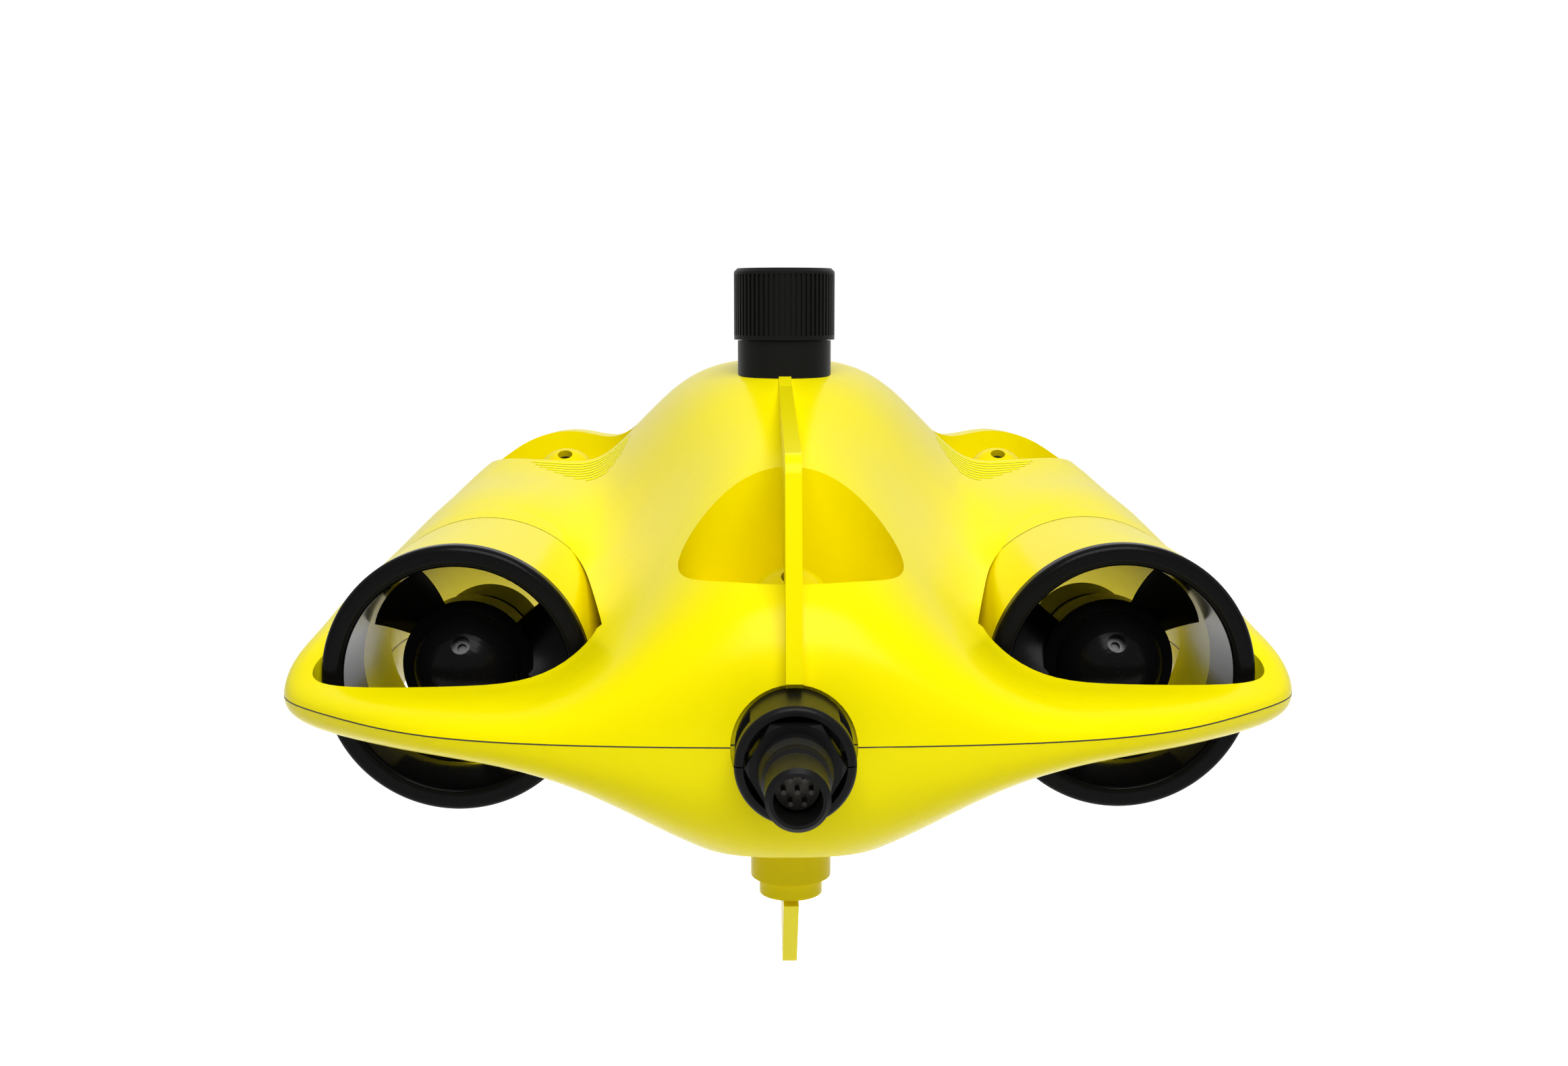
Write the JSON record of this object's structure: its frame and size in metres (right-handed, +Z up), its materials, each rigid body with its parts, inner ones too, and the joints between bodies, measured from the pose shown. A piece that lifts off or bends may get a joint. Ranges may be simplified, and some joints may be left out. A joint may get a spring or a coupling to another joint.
{
  "type": "underwater inspection rov",
  "caption": "Manta-shaped underwater inspection vehicle with ducted rear and vertical thrusters, clear camera dome, keel fins, screw-capped top port and tail tether connector.",
  "frame": {"origin": "centre of the box round the whole vehicle", "axes": "+Y ahead towards the camera dome, +X to starboard, +Z up"},
  "size_m": [0.2278, 0.385, 0.16],
  "materials": {
    "hull_yellow": "gloss moulded plastic",
    "thruster_yellow": "gloss moulded plastic",
    "black_gloss": "satin gloss",
    "black_plastic": "satin",
    "steel": "brushed",
    "aluminium": "anodised",
    "brass": "turned",
    "clear": "clear",
    "lens_glass": "coated",
    "reflector": "bright",
    "led_yellow": "phosphor",
    "seal_rubber": "soft",
    "battery_wrap": "shrink wrap",
    "board_green": "solder mask",
    "pin_gold": "plated",
    "tube_clear_grey": "hard anodised"
  },
  "bodies": {
    "hull": {"ballast_weight": "steel", "battery_pack": "battery_wrap", "belly_insert": "brass", "camera_barrel": "black_plastic", "camera_lens": "lens_glass", "connector_body": "black_plastic", "connector_clamp_lower": "black_plastic", "connector_clamp_upper": "black_plastic", "connector_nut": "black_plastic", "connector_pins": "pin_gold", "control_board": "board_green", "dome_window": "clear", "dorsal_fin": "hull_yellow", "duct_ring_left": "black_gloss", "duct_ring_right": "black_gloss", "hull_screws": "steel", "keel_fin": "hull_yellow", "lamp_led_left": "led_yellow", "lamp_led_right": "led_yellow", "lamp_lens_left": "clear", "lamp_lens_right": "clear", "lamp_reflector_left": "reflector", "lamp_reflector_right": "reflector", "lower_shell": "hull_yellow", "motor_pod_front_left": "thruster_yellow", "motor_pod_front_right": "thruster_yellow", "motor_pod_left": "black_gloss", "motor_pod_right": "black_gloss", "motor_pod_tail": "thruster_yellow", "nose_bezel": "black_plastic", "port_neck": "black_plastic", "pressure_tube": "tube_clear_grey", "rear_shroud_left": "hull_yellow", "rear_shroud_right": "hull_yellow", "tube_cap_front": "aluminium", "tube_cap_rear": "aluminium", "tube_cradle_front": "black_plastic", "tube_cradle_rear": "black_plastic", "upper_shell": "hull_yellow"},
    "rear_prop_left": {"propeller_left": "black_gloss", "hub_screw_left": "steel", "shaft_left": "steel"},
    "rear_prop_right": {"propeller_right": "black_gloss", "hub_screw_right": "steel", "shaft_right": "steel"},
    "front_prop_left": {"propeller_front_left": "thruster_yellow", "hub_screw_front_left": "steel", "shaft_front_left": "steel"},
    "front_prop_right": {"propeller_front_right": "thruster_yellow", "hub_screw_front_right": "steel", "shaft_front_right": "steel"},
    "tail_prop": {"propeller_tail": "thruster_yellow", "hub_screw_tail": "steel", "shaft_tail": "steel"},
    "port_plug": {"port_plug": "black_plastic", "port_seal": "seal_rubber"},
    "port_cap": {"port_cap": "black_plastic"}
  },
  "joints": [
    {"name": "rear_left_spin", "type": "hinge", "parent": "hull", "child": "rear_prop_left", "pos_m": [-0.0742, -0.0925, -0.012], "axis": [0, 1, 0], "continuous": true},
    {"name": "rear_right_spin", "type": "hinge", "parent": "hull", "child": "rear_prop_right", "pos_m": [0.0742, -0.0925, -0.012], "axis": [0, 1, 0], "continuous": true},
    {"name": "front_left_spin", "type": "hinge", "parent": "hull", "child": "front_prop_left", "pos_m": [-0.066, 0.0375, 0.014], "axis": [0, 0, 1], "continuous": true},
    {"name": "front_right_spin", "type": "hinge", "parent": "hull", "child": "front_prop_right", "pos_m": [0.066, 0.0375, 0.014], "axis": [0, 0, 1], "continuous": true},
    {"name": "tail_spin", "type": "hinge", "parent": "hull", "child": "tail_prop", "pos_m": [0, -0.1205, 0.004], "axis": [0, 0, 1], "continuous": true},
    {"name": "port_plug_lift", "type": "slide", "parent": "hull", "child": "port_plug", "axis": [0, 0, 1], "range_m": [0, 0.0045]},
    {"name": "port_cap_turn", "type": "hinge", "parent": "port_plug", "child": "port_cap", "pos_m": [0, -0.0195, 0.068], "axis": [0, 0, 1], "range_deg": [0, 1080]}
  ],
  "couplings": [
    {"joint": "port_plug_lift", "follows": "port_cap_turn", "m_per_rad": 0.00023873}
  ]
}
